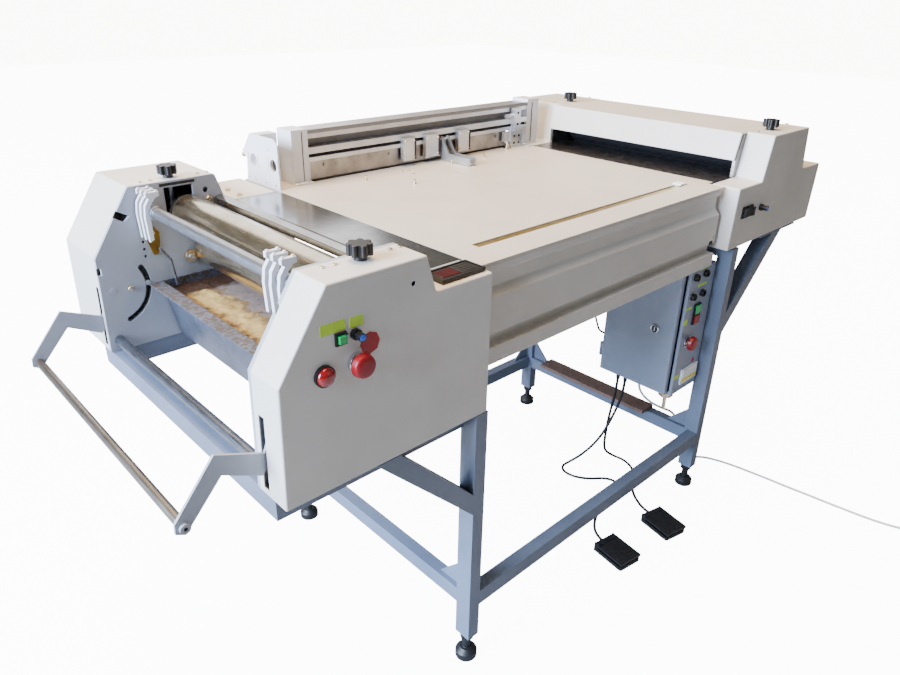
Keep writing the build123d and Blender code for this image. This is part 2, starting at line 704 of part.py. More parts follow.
def mains_plug():
    x, y, z = PLUG_TAIL[-1]
    grip = fillet(block(x, x + 44, y - 18, y + 18, 0.5, 24.5).edges().filter_by(Axis.Z), 8)
    pins = [rod_x(x + 44, x + 63, y + dy, z, 2.4) for dy in (-9.5, 9.5)]
    return joined(grip, *pins)


def pedal_frame(solid, pedal):
    x, y, turn = pedal
    return Pos(x, y, 0) * Rot(0, 0, turn) * solid


PEDALS = {"1": (518.5, -25.5, -8.7), "2": (706.0, -46.5, -12.0)}
PEDAL_HALF = (36.0, 49.0)


def pedal_base():
    w, l = PEDAL_HALF
    body = fillet(block(-w, w, -l, l, 0, 10).edges().filter_by(Axis.Z), 6)
    well = block(-w + 4, w - 4, -l + 4, l - 10, 4, 14)
    ears = [block(s * 31.5 - 2.5, s * 31.5 + 2.5, l - 16, l - 2, 8, 24) for s in (-1, 1)]
    lug = block(-8, 8, l - 6, l, 4, 13)
    base = joined(cut(body, well), *ears, lug)
    return cut(base, rod_x(-w, w, l - 9, 18, 2.5 + RUN))


def treadle():
    w, l = PEDAL_HALF
    plate = fillet(block(-28.5, 28.5, -l + 2, l - 2, 17, 22).edges().filter_by(Axis.Z), 4)
    plate = joined(plate, block(-w, w, -l + 2, l - 18, 17, 22), block(-28, 28, l - 14, l - 4, 14.5, 19))
    skirt = block(-w, w, -l, -l + 3, 15, 22)
    return joined(plate, skirt, rod_x(-34.5, 34.5, l - 9, 18, 2.5))


def sensor_cable():
    """A thin lead from under the table, looped down to the cabinet's rear side."""
    route = [(790, 303, 893.9), (789, 306, 760), (783, 303, 640), (784, 302, 500), (798, 290, 446),
             (826, 256.5, 436)]
    path = FilletPolyline(*route, radius=[200, 300, 120, 24])
    return sweep(Plane(path @ 0, z_dir=path % 0) * Circle(3), path)


def main():
    save("stand_frame", stand_frame())
    save("levelling_feet", *[levelling_foot(x, y) for x in (15, STAND_X - 15) for y in (20, STAND_Y - 20)])
    save("rail_board", rail_board())
    save("table_top", table_top())
    save("table_fascias", front_fascia(), rear_fascia())
    save("table_inserts", table_inserts())
    save("slot_slider", slot_slider())
    save("glue_front_cover", glue_front_cover())
    save("glue_far_cover", glue_far_cover())
    save("glue_side_plates", *glue_frame())
    save("feed_plate", feed_plate())
    save("glue_roller_upper", roller(UPPER_ROLLER, UPPER_R, 88, 667, 62, 694))
    save("glue_roller_lower", roller(LOWER_ROLLER, LOWER_R, 88, 667, 62, 694))
    save("stripper_set", *stripper_set())
    save("glue_tray", glue_tray(), level_probe())
    save("glue_fill", glue_fill())
    save("tray_lever", *tray_lever())
    save("star_knob_glue_near", star_knob(-205, 50, 962.9, 900))
    save("star_knob_glue_far", star_knob(-205, 706, 962.9, 900))
    save("star_knob_press_near", star_knob(PRESS_X, 50, 1010, 965))
    save("star_knob_press_far", star_knob(PRESS_X, 696, 1010, 965))
    save("press_front_cover", press_cover(0, PRESS_NEAR[0], False, 50))
    save("press_far_cover", press_cover(PRESS_FAR[1], COVER_BACK, True, 696))
    save("press_inner_frame", press_inner_frame())
    save("press_hood", press_hood())
    save("press_roller_top", roller((PRESS_X, PRESS_TOP_Z), PRESS_R, 88, 657, 62, 683))
    save("press_roller_bottom", roller((PRESS_X, PRESS_LOW_Z), PRESS_R, 88, 657, 62, 683))
    save("fence_posts", fence_posts(), fence_end_bracket())
    save("fence_rail", fence_rail())
    save("fence_back_plate", fence_back_plate())
    save("fence_end_housing", fence_end_housing())
    save("gauge_carriage_left", carriage(413, 455))
    save("gauge_carriage_middle", gauge_carriage_middle())
    save("gauge_carriage_right", carriage(610, 655))
    save("gauge_finger", gauge_finger())
    save("cabinet_body", cabinet_body())
    save("cabinet_door", cabinet_door())
    save("door_lock", door_lock())
    save("panel_fittings", *panel_fittings())
    save("stop_knob_glue", mushroom(-256, 833, 0))
    save("stop_knob_cabinet", mushroom(815, 503, CABINET_Y[0]))
    save("green_button", square_button(-281, 878, 0, 5.8, 6))
    save("start_button", push_button(590))
    save("halt_button", push_button(562))
    save("speed_knob_glue", pot_knob(-256, 878))
    save("speed_knob_press", pot_knob(1017, 833))
    save("rocker_switch", rocker_switch())
    save("label_plates", *label_plates())
    save("fasteners", *fasteners())
    save("sensor_cable", sensor_cable())
    for name, place in PEDALS.items():
        save(f"pedal_base_{name}", pedal_frame(pedal_base(), place))
        save(f"treadle_{name}", pedal_frame(treadle(), place))
    save("pedal_cable_1", tube(PEDAL_ROUTE_1, PEDAL_CORD))
    save("pedal_cable_2", tube(PEDAL_ROUTE_2, PEDAL_CORD))
    save("mains_cord", tube(MAINS_ROUTE, MAINS_CORD))
    save("mains_coil", mains_coil())
    save("mains_plug", mains_plug())


main()
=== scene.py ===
import bmesh
import bpy
import json
import math
from mathutils import Matrix, Vector, noise


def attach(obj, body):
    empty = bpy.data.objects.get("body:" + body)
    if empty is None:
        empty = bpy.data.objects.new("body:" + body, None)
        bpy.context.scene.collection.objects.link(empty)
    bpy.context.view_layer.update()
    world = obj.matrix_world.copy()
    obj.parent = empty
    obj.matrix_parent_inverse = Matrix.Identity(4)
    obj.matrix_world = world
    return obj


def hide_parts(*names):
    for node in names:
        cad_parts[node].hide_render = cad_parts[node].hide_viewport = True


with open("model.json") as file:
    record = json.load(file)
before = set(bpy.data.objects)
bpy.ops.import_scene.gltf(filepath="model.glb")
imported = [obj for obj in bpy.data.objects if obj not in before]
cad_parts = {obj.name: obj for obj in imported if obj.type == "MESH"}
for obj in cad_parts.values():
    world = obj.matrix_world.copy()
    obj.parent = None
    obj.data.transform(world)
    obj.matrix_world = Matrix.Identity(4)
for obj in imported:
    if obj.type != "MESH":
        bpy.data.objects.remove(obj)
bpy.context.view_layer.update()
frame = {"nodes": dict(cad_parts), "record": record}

# Hardcover case-making line: glue roller unit, work table with gauge fence, press roller unit,
# control cabinet and foot pedals. Places are given in millimetres from the front left leg's
# outer corner on the floor, as in the CAD source, and at() turns them to metres in the frame.
LEG_CORNER = Vector((-0.4105, -0.4125, 0.0))
NODES = frame["nodes"]
BODY_OF = {n: body for body, names in frame["record"]["behaviour"]["bodies"].items() for n in names}
SLOT_OF = {s["node"]: s["material_slot"] for s in frame["record"]["subparts"]}
WELD = 1e-6                       # vertices nearer than this, in metres, are one
FLAT_WITHIN = math.radians(1)     # faces that lie this flat to each other are merged
ROUND_ABOVE = math.radians(40)    # edges sharper than this are rounded
LEAST_EDGE_MM = 0.05              # no edge is left sharper than this


def at(x, y, z):
    """A place in millimetres from the leg corner, as metres in the frame."""
    return LEG_CORNER + Vector((x, y, z)) / 1000


# camera, floor and light ------------------------------------------------------------------

CAMERA_PLACE = (-782.1, -747.7, 1314.8)     # millimetres from the leg corner
LENS_MM = 28.37
FLOOR_HALF = 14.0                           # metres
SKY_LIGHT = 0.22                            # strength of the sky on the object
SEEN_WHITE = 12.0                           # strength of the sky and the floor as the camera sees them
# name, place and target in metres, diameter in metres, power in watts, colour
LAMPS = (
    ("window_left", (-4.5, 0.4, 2.3), (0, 0.1, 0.6), 3.2, 1500, "#CFE0FF"),
    ("ceiling", (-0.4, 0.7, 4.2), (0.1, 0.1, 0.8), 2.8, 420, "#FFDCB0"),
    ("front", (1.6, -3.8, 2.0), (0.2, 0, 0.6), 2.6, 8, "#FFF3E4"),
    ("rear", (0.8, 3.6, 2.6), (0, 0, 0.8), 3.0, 60, "#F4F7FF"),
)


def make_camera():
    """A wide lens at the front left corner, a little above the covers."""
    data = bpy.data.cameras.new("camera")
    data.sensor_width = 36
    data.lens = LENS_MM
    data.clip_start = 0.05
    camera = bpy.data.objects.new("camera", data)
    bpy.context.scene.collection.objects.link(camera)
    right = Vector((0.72917, -0.68415, 0.01586))
    up = Vector((0.28941, 0.32929, 0.89878))
    back = Vector((-0.62013, -0.65077, 0.43811))
    turn = Matrix((right, up, back)).transposed().to_4x4()
    camera.matrix_world = Matrix.Translation(at(*CAMERA_PLACE)) @ turn
    bpy.context.scene.camera = camera


def area_light(name, place, target, size, power, colour):
    """A round soft lamp that faces its target."""
    data = bpy.data.lights.new(name, "AREA")
    data.shape = "DISK"
    data.size = size
    data.energy = power
    data.color = linear(colour)[:3]
    lamp = bpy.data.objects.new(name, data)
    bpy.context.scene.collection.objects.link(lamp)
    lamp.location = place
    lamp.rotation_euler = (Vector(target) - Vector(place)).to_track_quat("-Z", "Y").to_euler()


def make_studio():
    """A pale floor, a dim even sky that the camera sees as white, and four soft lamps."""
    mesh = bpy.data.meshes.new("floor")
    half = FLOOR_HALF
    corners = [(-half, -half, 0), (half, -half, 0), (half, half, 0), (-half, half, 0)]
    mesh.from_pydata(corners, [], [(0, 1, 2, 3)])
    floor = bpy.data.objects.new("floor", mesh)
    bpy.context.scene.collection.objects.link(floor)
    mesh.materials.append(pale_floor())
    world = bpy.data.worlds.new("studio")
    world.use_nodes = True
    tree = world.node_tree
    sky = tree.nodes["Background"]
    sky.inputs["Color"].default_value = linear("#F6F3EE")
    seen = tree.nodes.new("ShaderNodeLightPath").outputs["Is Camera Ray"]
    gain = tree.nodes.new("ShaderNodeMapRange")
    gain.inputs["To Min"].default_value = SKY_LIGHT
    gain.inputs["To Max"].default_value = SEEN_WHITE
    tree.links.new(seen, gain.inputs["Value"])
    tree.links.new(gain.outputs[0], sky.inputs["Strength"])
    bpy.context.scene.world = world
    for lamp in LAMPS:
        area_light(*lamp)


# materials --------------------------------------------------------------------------------

def linear(code):
    """An sRGB hex colour as linear RGBA."""
    values = [int(code[i:i + 2], 16) / 255 for i in (1, 3, 5)]
    return [v / 12.92 if v <= 0.04045 else ((v + 0.055) / 1.055) ** 2.4 for v in values] + [1.0]


def add(material, kind, output=0, **settings):
    """Add a node, set its properties and sockets, link what is given as a socket, return an output."""
    made = material.node_tree.nodes.new("ShaderNode" + kind)
    for name, value in settings.items():
        if hasattr(made, name) and name not in ("color", "width", "height"):
            setattr(made, name, value)
            continue
        where = int(name[1:]) if name[0] == "_" else name.replace("_", " ")
        socket = made.inputs[where]
        if isinstance(value, bpy.types.NodeSocket):
            material.node_tree.links.new(value, socket)
        else:
            socket.default_value = value
    return made if output is None else made.outputs[output]


def new_material(name):
    """An empty node material."""
    material = bpy.data.materials.new(name)
    material.use_nodes = True
    material.node_tree.nodes.clear()
    return material


def finish_material(material, bump=None, depth=0.0001, strength=0.5, **sockets):
    """The surface shader with its sockets, and a bump of that depth in metres."""
    if bump is not None:
        sockets["Normal"] = add(material, "Bump", Height=bump, Distance=depth, Strength=strength)
    shader = add(material, "BsdfPrincipled", **sockets)
    add(material, "OutputMaterial", None, Surface=shader)
    return material


def ramp(material, factor, *stops):
    """A colour ramp through (position, hex colour) stops."""
    made = add(material, "ValToRGB", None, Fac=factor)
    bar = made.color_ramp
    while len(bar.elements) < len(stops):
        bar.elements.new(0.5)
    for element, (place, code) in zip(bar.elements, stops):
        element.position = place
        element.color = linear(code)
    return made.outputs[0]


EVEN = (1, 1, 1)          # no stretch


def grain(material, size_mm, stretch=EVEN, detail=4.0, roughness=0.55):
    """Noise whose largest features are about size_mm across, stretched along an axis."""
    place = add(material, "TexCoord", "Object")
    place = add(material, "Mapping", Vector=place, Scale=[1 / s for s in stretch])
    return add(material, "TexNoise", Vector=place, Scale=1000 / size_mm, Detail=detail, Roughness=roughness)


def between(material, factor, low, high):
    """Spread a noise, which stays mostly within 0.3 to 0.7, over low to high."""
    return add(material, "MapRange", Value=factor, From_Min=0.3, From_Max=0.7, To_Min=low, To_Max=high)


def powder_coat(name, light, dark, gloss, peel_mm=1.6):
    """Polyester powder coat baked on steel: orange-peel skin, slight patchiness, soft gloss."""
    patch_mm, handled_mm, peel_depth = 160, 70, 0.00006
    m = new_material(name)
    colour = ramp(m, grain(m, patch_mm), (0.3, dark), (0.7, light))
    rough = between(m, grain(m, handled_mm), gloss - 0.05, gloss + 0.07)
    return finish_material(m, grain(m, peel_mm, detail=2), peel_depth, 0.35,
                           Base_Color=colour, Roughness=rough, IOR=1.5)


def steel(name, light, dark, gloss, lines, line_mm, depth=0.00003):
    """Bare metal with drawn or ground lines along one axis, stretched as in lines, and faint stains."""
    stain_mm, line_share = 45, 0.35
    m = new_material(name)
    streak = grain(m, line_mm, lines, detail=3)
    stain = grain(m, stain_mm, detail=5)
    colour = ramp(m, add(m, "Math", operation="MULTIPLY_ADD", _0=streak, _1=line_share, _2=stain),
                  (0.45, dark), (0.85, light))
    rough = between(m, streak, gloss - 0.05, gloss + 0.08)
    return finish_material(m, streak, depth, 0.3, Base_Color=colour, Roughness=rough, Metallic=1.0)


def moulded(name, code, gloss, texture_mm=0.9, depth=0.00005, coat=0.0):
    """Injection moulded plastic or rubber with a fine spark-eroded skin."""
    flow_mm, touch_mm = 25, 12
    m = new_material(name)
    tone = ramp(m, grain(m, flow_mm), (0.25, code), (0.75, shade(code, 1.12)))
    rough = between(m, grain(m, touch_mm), gloss - 0.05, gloss + 0.06)
    return finish_material(m, grain(m, texture_mm, detail=2), depth, 0.4, Base_Color=tone, Roughness=rough,
                           Coat_Weight=coat, Coat_Roughness=0.1)


def shade(code, gain):
    """The same hex colour, lighter or darker."""
    parts = [min(255, round(int(code[i:i + 2], 16) * gain)) for i in (1, 3, 5)]
    return "#" + "".join(f"{v:02X}" for v in parts)


def pale_floor():
    """Painted studio floor: matt grey to the lamps, white to the camera."""
    m = new_material("studio_floor")
    tone = ramp(m, grain(m, 900), (0.2, "#8C8E90"), (0.8, "#969899"))
    seen = add(m, "LightPath", "Is Camera Ray")
    glow = add(m, "MapRange", Value=seen, To_Max=SEEN_WHITE)
    return finish_material(m, Base_Color=tone, Roughness=0.9, Emission_Color=linear("#FFFFFF"),
                           Emission_Strength=glow)


def hardboard():
    """Pressed brown fibre board with a smooth face and darker flecks."""
    fibre_mm, fibres, skin_mm = 3, (4, 1, 1), 0.8
    m = new_material("hardboard")
    tone = ramp(m, grain(m, fibre_mm, fibres, detail=8), (0.3, "#5C4A42"), (0.7, "#84695C"))
    return finish_material(m, grain(m, skin_mm), 0.0001, 0.4, Base_Color=tone, Roughness=0.7)


FOAM_X = (-258, -118)         # the glue's colours run from the lip to the rollers between these
SKIN_Y = (560, 655)           # its dried skin thickens between these, towards the far wall


def dried_glue():
    """Animal glue: cream foam along the lip, a pinkish grey wet strip, brown skin at the far wall."""
    lump_mm, film_mm, lump_depth = 26, 14, 0.003
    m = new_material("animal_glue")
    place = add(m, "SeparateXYZ", None, _0=add(m, "TexCoord", "Object"))
    lumps = grain(m, lump_mm, detail=9, roughness=0.66)
    low, high = (at(x, 0, 0).x for x in FOAM_X)
    across = add(m, "MapRange", Value=place.outputs[0], From_Min=low, From_Max=high)
    uneven = add(m, "Math", operation="SUBTRACT", _0=lumps, _1=0.5)
    across = add(m, "Math", operation="MULTIPLY_ADD", _0=uneven, _1=0.75, _2=across)
    tone = ramp(m, across, (0.02, "#4E3A24"), (0.09, "#9C7A42"), (0.2, "#BFA468"), (0.4, "#AA8C52"),
                (0.52, "#745A3E"), (0.58, "#85766C"), (0.9, "#75675F"))
    low, high = (at(0, y, 0).y for y in SKIN_Y)
    far = add(m, "MapRange", Value=place.outputs[1], From_Min=low, From_Max=high)
    far = add(m, "Math", operation="MULTIPLY_ADD", _0=lumps, _1=0.8, _2=far)
    skin = ramp(m, far, (0.75, "#000000"), (0.95, "#FFFFFF"))
    tone = add(m, "Mix", 2, data_type="RGBA", Factor=skin, _6=tone, _7=linear("#3F2A1C"))
    rough = between(m, grain(m, film_mm, detail=6), 0.22, 0.62)
    return finish_material(m, lumps, lump_depth, 0.7, Base_Color=tone, Roughness=rough, Coat_Weight=0.25)


RIM_FROM, RIM_TO = 0.700, 0.757       # heights in metres over which the crust grows to the tray's rim
CRUST_FROM, CRUST_TO = 0.80, 0.88     # bare sheet below the first, full crust above the second


def glue_stained_sheet():
    """Blue-grey cold rolled sheet with brown glue crust where it is near the rim."""
    crust_mm, crust_depth, sheet_mm = 11, 0.0006, 60
    m = new_material("glue_stained_sheet")
    place = add(m, "SeparateXYZ", None, _0=add(m, "TexCoord", "Object"))
    rim = add(m, "MapRange", Value=place.outputs[2], From_Min=RIM_FROM, From_Max=RIM_TO)
    crust = grain(m, crust_mm, detail=8, roughness=0.7)
    crust = add(m, "Math", operation="MULTIPLY_ADD", _0=rim, _1=0.35, _2=crust)
    mask = ramp(m, crust, (CRUST_FROM, "#000000"), (CRUST_TO, "#FFFFFF"))
    sheet_tone = ramp(m, grain(m, sheet_mm, detail=5), (0.35, "#5F6675"), (0.7, "#767D8C"))
    tone = add(m, "Mix", 2, data_type="RGBA", Factor=mask, _6=sheet_tone, _7=linear("#40372F"))
    metal = add(m, "MapRange", Value=crust, From_Min=CRUST_FROM, From_Max=CRUST_TO, To_Min=0.85, To_Max=0.0)
    rough = add(m, "MapRange", Value=crust, From_Min=0.5, From_Max=0.9, To_Min=0.38, To_Max=0.7)
    return finish_material(m, crust, crust_depth, 0.5, Base_Color=tone, Roughness=rough, Metallic=metal)


def lamp_lens():
    """Dark red polycarbonate lens over a reflector that mottles it."""
    mottle_mm = 6
    m = new_material("red_lens")
    tone = ramp(m, grain(m, mottle_mm), (0.3, "#6E060B"), (0.7, "#A80F18"))
    return finish_material(m, Base_Color=tone, Roughness=0.15, Coat_Weight=0.8, Transmission_Weight=0.15)


# how far lines are stretched along each axis
LONG_X = (60, 1, 1)       # drawn lines along X
ROUND_Y = (1, 60, 1)      # ground or drawn lines along a roller or rod
SHEET_Y = (1, 40, 1)      # rolling lines of a sheet across the machine
POLISHED = 0.00001        # depth of a ground surface's lines, in metres
PAINT = {}


def make_materials():
    """Every finish by the name that the pieces use; blotch, line and skin sizes are in millimetres."""
    PAINT.update({
        # polyester powder coat on folded and welded steel
        "cover_paint": powder_coat("powder_coat_light", "#CDCAC3", "#C3C0B8", 0.40),
        "table_paint": powder_coat("powder_coat_table", "#C5BEB2", "#BBB4A8", 0.34, 2.2),
        "stand_paint": powder_coat("powder_coat_blue_grey", "#697486", "#5D6879", 0.34),
        "cabinet_paint": powder_coat("powder_coat_grey", "#8893A3", "#7D8899", 0.34),
        "side_plate_paint": powder_coat("powder_coat_side_plate", "#9BA0A8", "#90959D", 0.36),
        "hook_paint": powder_coat("satin_white_strip", "#D3D6DB", "#C6CAD0", 0.3),
        "white_paint": powder_coat("powder_coat_white", "#DCDDDE", "#D3D4D6", 0.36),
        # stainless rollers and bright screws, and anodised aluminium of the fence
        "bright_steel": steel("ground_stainless", "#E2D5BC", "#C2B392", 0.2, ROUND_Y, 0.7, POLISHED),
        "fence_aluminium": steel("anodised_aluminium", "#D6D7D8", "#BFC1C3", 0.40, LONG_X, 0.5, POLISHED),
        # bare plates, the polished feed sheet, rods, the handle and chromed fittings
        "plate_steel": steel("mill_finish_plate", "#8F8A86", "#5F5B58", 0.26, SHEET_Y, 0.6, POLISHED),
        "feed_steel": steel("polished_sheet", "#B4B2AF", "#9C9A97", 0.17, SHEET_Y, 0.4, 0.000005),
        "shaft_steel": steel("drawn_steel_rod", "#8F96A0", "#767D88", 0.30, ROUND_Y, 0.6, POLISHED),
        "bar_steel": steel("satin_bar", "#A5A9AE", "#8F9399", 0.36, ROUND_Y, 0.6, POLISHED),
        "handle_steel": steel("oiled_handle_bar", "#8B867D", "#7A756B", 0.36, ROUND_Y, 0.6, POLISHED),
        "chrome": steel("bright_chrome", "#E4E5E8", "#CFD1D5", 0.10, EVEN, 4.0, 0.000002),
        "galvanised": steel("galvanised_sheet", "#A9A49D", "#7B7772", 0.36, (3, 1, 3), 9.0),
        "brass": steel("drawn_brass", "#EBD388", "#C9A95C", 0.3, LONG_X, 0.5, POLISHED),
        # the glue, and the sheet and plate that it has stained
        "tray_steel": glue_stained_sheet(),
        "stained_brass": steel("glue_stained_plate", "#9C7E3C", "#6B5427", 0.42, EVEN, 6.0),
        "dried_glue": dried_glue(),
        # rubber of the feet, the press rollers and the seals, and pressed fibre board
        "black_rubber": moulded("moulded_rubber", "#121315", 0.5),
        "roller_rubber": moulded("ground_rubber", "#191A1D", 0.5, 0.5),
        "rubber_strip": moulded("extruded_seal_grey", "#6E6C69", 0.55),
        "hardboard": hardboard(),
        # moulded plastics of knobs, buttons, fittings and pedals
        "black_plastic": moulded("glass_filled_nylon", "#070708", 0.42),
        "white_plastic": moulded("acetal_white", "#E0E2E6", 0.35),
        "red_plastic": moulded("abs_red", "#7C0410", 0.34, coat=0.05),
        "green_plastic": moulded("polycarbonate_green", "#0C9A4E", 0.25, coat=0.3),
        "blue_plastic": moulded("abs_blue", "#1B55B8", 0.3, coat=0.3),
        "yellow_plastic": moulded("abs_yellow", "#E6D81E", 0.35),
        "pedal_plastic": moulded("abs_black_grained", "#131416", 0.45, 1.0, 0.0001),
        "red_lens": lamp_lens(),
        "smoked_window": moulded("smoked_display_window", "#3A0A0B", 0.15, 0.6, 0.00001, coat=0.4),
        # vinyl label film
        "red_film": moulded("vinyl_red", "#96101D", 0.4, 0.6, 0.00001),
        "label_film": moulded("vinyl_lime", "#A9CC2E", 0.4, 0.6, 0.00001),
        # PVC cord sheaths
        "cord_black": moulded("pvc_black", "#131416", 0.38, 1.5, 0.00004),
        "cord_grey": moulded("pvc_light_grey", "#B9B6B0", 0.42, 1.5, 0.00004),
        # the unlit inside of a slot, a socket or a housing
        "dark_recess": moulded("unlit_recess_black", "#08090A", 0.7),
    })


# pieces -----------------------------------------------------------------------------------

def finish_piece(name, mesh, paint, body, edge_mm=0.0, segments=2):
    """Put a mesh in the scene with its paint, rounded edges and body."""
    mesh.materials.clear()
    mesh.materials.append(PAINT[paint])
    for face in mesh.polygons:
        face.use_smooth = True
    piece = bpy.data.objects.new(name, mesh)
    bpy.context.scene.collection.objects.link(piece)
    edge = piece.modifiers.new("edge", "BEVEL")
    edge.width = max(edge_mm, LEAST_EDGE_MM) / 1000
    edge.segments = segments
    edge.limit_method = "ANGLE"
    edge.angle_limit = ROUND_ABOVE
    edge.harden_normals = True
    edge.use_clamp_overlap = True
    flat = piece.modifiers.new("flat_faces", "WEIGHTED_NORMAL")
    flat.keep_sharp = True
    flat.weight = 100
    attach(piece, body)
    return piece


def cad_shape(node):
    """The CAD mesh with its flat faces merged, ready for rounding."""
    shape = bmesh.new()
    shape.from_mesh(NODES[node].data)
    bmesh.ops.remove_doubles(shape, verts=shape.verts, dist=WELD)
    bmesh.ops.dissolve_limit(shape, angle_limit=FLAT_WITHIN, verts=shape.verts, edges=shape.edges)
    return shape


def softened(node, width_mm, paint, segments=2):
    """The CAD shape with its edges rounded over, standing for that node."""
    shape = cad_shape(node)
    mesh = bpy.data.meshes.new(node + "_finished")
    shape.to_mesh(mesh)
    shape.free()
    piece = finish_piece(node + "_finished", mesh, paint, BODY_OF[node], width_mm, segments)
    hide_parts(node)
    return piece


def loose_parts(shape):
    """The separate solids of a mesh, each as a list of faces."""
    seen, parts = set(), []
    for first in shape.faces:
        if first in seen:
            continue
        seen.add(first)
        stack, part = [first], []
        while stack:
            face = stack.pop()
            part.append(face)
            for edge in face.edges:
                for other in edge.link_faces:
                    if other not in seen:
                        seen.add(other)
                        stack.append(other)
        parts.append(part)
    return parts


def sorted_parts(node, width_mm, choose):
    """Split a node's solids by finish: choose(x, y, z) of a solid's middle gives its paint."""
    shape = cad_shape(node)
    paint_of = {}
    for part in loose_parts(shape):
        corners = [v.co for face in part for v in face.verts]
        low = Vector([min(c[i] for c in corners) for i in range(3)])
        high = Vector([max(c[i] for c in corners) for i in range(3)])
        x, y, z = ((low + high) / 2 - LEG_CORNER) * 1000
        paint = choose(x, y, z)
        for face in part:
            paint_of[face.index] = paint
    for paint in sorted(set(paint_of.values())):
        kept = shape.copy()
        kept.faces.ensure_lookup_table()
        others = [face for face in kept.faces if paint_of[face.index] != paint]
        bmesh.ops.delete(kept, geom=others, context="FACES")
        mesh = bpy.data.meshes.new(node + "_" + paint)
        kept.to_mesh(mesh)
        kept.free()
        piece = finish_piece(node + "_" + paint, mesh, paint, BODY_OF[node], width_mm)
        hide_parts(node)
    shape.free()


def paint_node(node, paint):
    """Give a carried-over CAD node its material."""
    mesh = NODES[node].data
    mesh.materials.clear()
    mesh.materials.append(PAINT[paint])


def bar(name, x0, x1, y0, y1, z0, z1, paint, body="machine", edge_mm=0.4, where=at):
    """A small flat or square piece with rounded edges."""
    mesh = bpy.data.meshes.new(name)
    corners = [where(x, y, z) for z in (z0, z1) for y in (y0, y1) for x in (x0, x1)]
    sides = [(0, 2, 3, 1), (4, 5, 7, 6), (0, 1, 5, 4), (2, 6, 7, 3), (0, 4, 6, 2), (1, 3, 7, 5)]
    mesh.from_pydata(corners, [], sides)
    return finish_piece(name, mesh, paint, body, edge_mm, 2)


def turned(name, profile, places, axis, paint, body="machine", steps=32, edge_mm=0.0, capped=True):
    """Lathe work: (radius, height) pairs in millimetres turned about an axis at each place."""
    upright = abs(axis[2]) > 0.9
    along = Vector(axis).normalized()
    side = along.cross(Vector((1, 0, 0) if upright else (0, 0, 1))).normalized()
    other = along.cross(side)
    points, faces = [], []
    for place in places:
        base = Vector(place)
        first = len(points)
        for radius, height in profile:
            for k in range(steps):
                angle = 2 * math.pi * k / steps
                spot = base + along * height + (side * math.cos(angle) + other * math.sin(angle)) * radius
                points.append(at(*spot))
        for row in range(len(profile) - 1):
            for k in range(steps):
                a, b = first + row * steps + k, first + row * steps + (k + 1) % steps
                faces.append((a, b, b + steps, a + steps))
        if capped:
            faces.append(tuple(first + k for k in range(steps))[::-1])
            faces.append(tuple(first + (len(profile) - 1) * steps + k for k in range(steps)))
    mesh = bpy.data.meshes.new(name)
    mesh.from_pydata(points, [], faces)
    shape = bmesh.new()
    shape.from_mesh(mesh)
    bmesh.ops.remove_doubles(shape, verts=shape.verts, dist=WELD)
    bmesh.ops.recalc_face_normals(shape, faces=shape.faces)
    shape.to_mesh(mesh)
    shape.free()
    return finish_piece(name, mesh, paint, body, edge_mm)


def dome(radius, height, flat=0.35, steps=5):
    """Profile of a rounded cap with a small flat on top."""
    points = [(radius, 0.0)]
    for k in range(1, steps + 1):
        angle = math.pi / 2 * k / steps
        points.append((radius * (flat + (1 - flat) * math.cos(angle)), height * math.sin(angle)))
    return points


def ring(inner, outer, height):
    """Profile of a ring with a slightly raised middle, closed on itself through its bore."""
    shoulder = height * 0.7
    return [(inner, 0.0), (outer, 0.0), (outer, shoulder), ((inner + outer) / 2, height), (inner, shoulder),
            (inner, 0.0)]


FRONT = (0, -1, 0)
LEFT = (-1, 0, 0)
UP = (0, 0, 1)
DOWN = (0, 0, -1)

# cords ------------------------------------------------------------------------------------

# The pedal leads hang from the cabinet's glands and lie on the floor to the pedals; the mains lead
# leaves the cabinet behind the leg and crosses the floor to its coil and plug.
PEDAL_ROUTE_1 = [(806, 190, 342), (806, 190, 300), (802, 196, 250), (792, 206, 200), (780, 218, 152),
                 (769, 234, 110), (760, 256, 72), (752, 280, 38), (738, 302, 14), (716, 311, 5),
                 (698, 296, 5), (694, 268, 5), (705, 238, 5), (727, 211, 5), (756, 190, 5),
                 (772, 164, 5), (764, 136, 5), (732, 118, 5), (690, 110, 5), (645, 111, 5),
                 (600, 99, 5), (562, 78, 5), (536, 50, 6), (525.9, 22, 10)]
PEDAL_ROUTE_2 = [(806, 214, 342), (806, 214, 300), (808, 219, 250), (808, 226, 200), (811, 232, 150),
                 (818, 238, 100), (832, 246, 56), (854, 249, 24), (876, 234, 6), (883, 200, 5),
                 (868, 160, 5), (836, 130, 5), (796, 110, 5), (764, 88, 5), (742, 58, 5),
                 (726, 30, 6), (716.2, 0.4, 10)]
MAINS_ROUTE = [(832, 160, 342), (832, 160, 318), (836, 157, 296), (848, 146, 272), (868, 128, 250),
               (894, 108, 232), (924, 98, 216), (950, 94, 192), (968, 90, 152), (986, 86, 108),
               (1010, 80, 60), (1038, 71, 20), (1062, 62, 4), (1085, 42, 4), (1103, 0, 4),
               (1114, -46, 4), (1121, -96, 4), (1128, -150, 4), (1133, -206, 4), (1141, -262, 4),
               (1147, -318, 4), (1155, -376, 4), (1164, -434, 4), (1180, -488, 4), (1203, -530, 4)]
PLUG_TAIL = [(1240, -592, 16), (1262, -601, 15), (1284, -606, 13), (1304, -608, 12.5)]
COIL_CENTRE = (1254.0, -548.0)
COIL_START = math.radians(186)    # where the lead meets the coil
COIL_STEP = 0.65                  # the share of a turn after which it moves over to the next ring
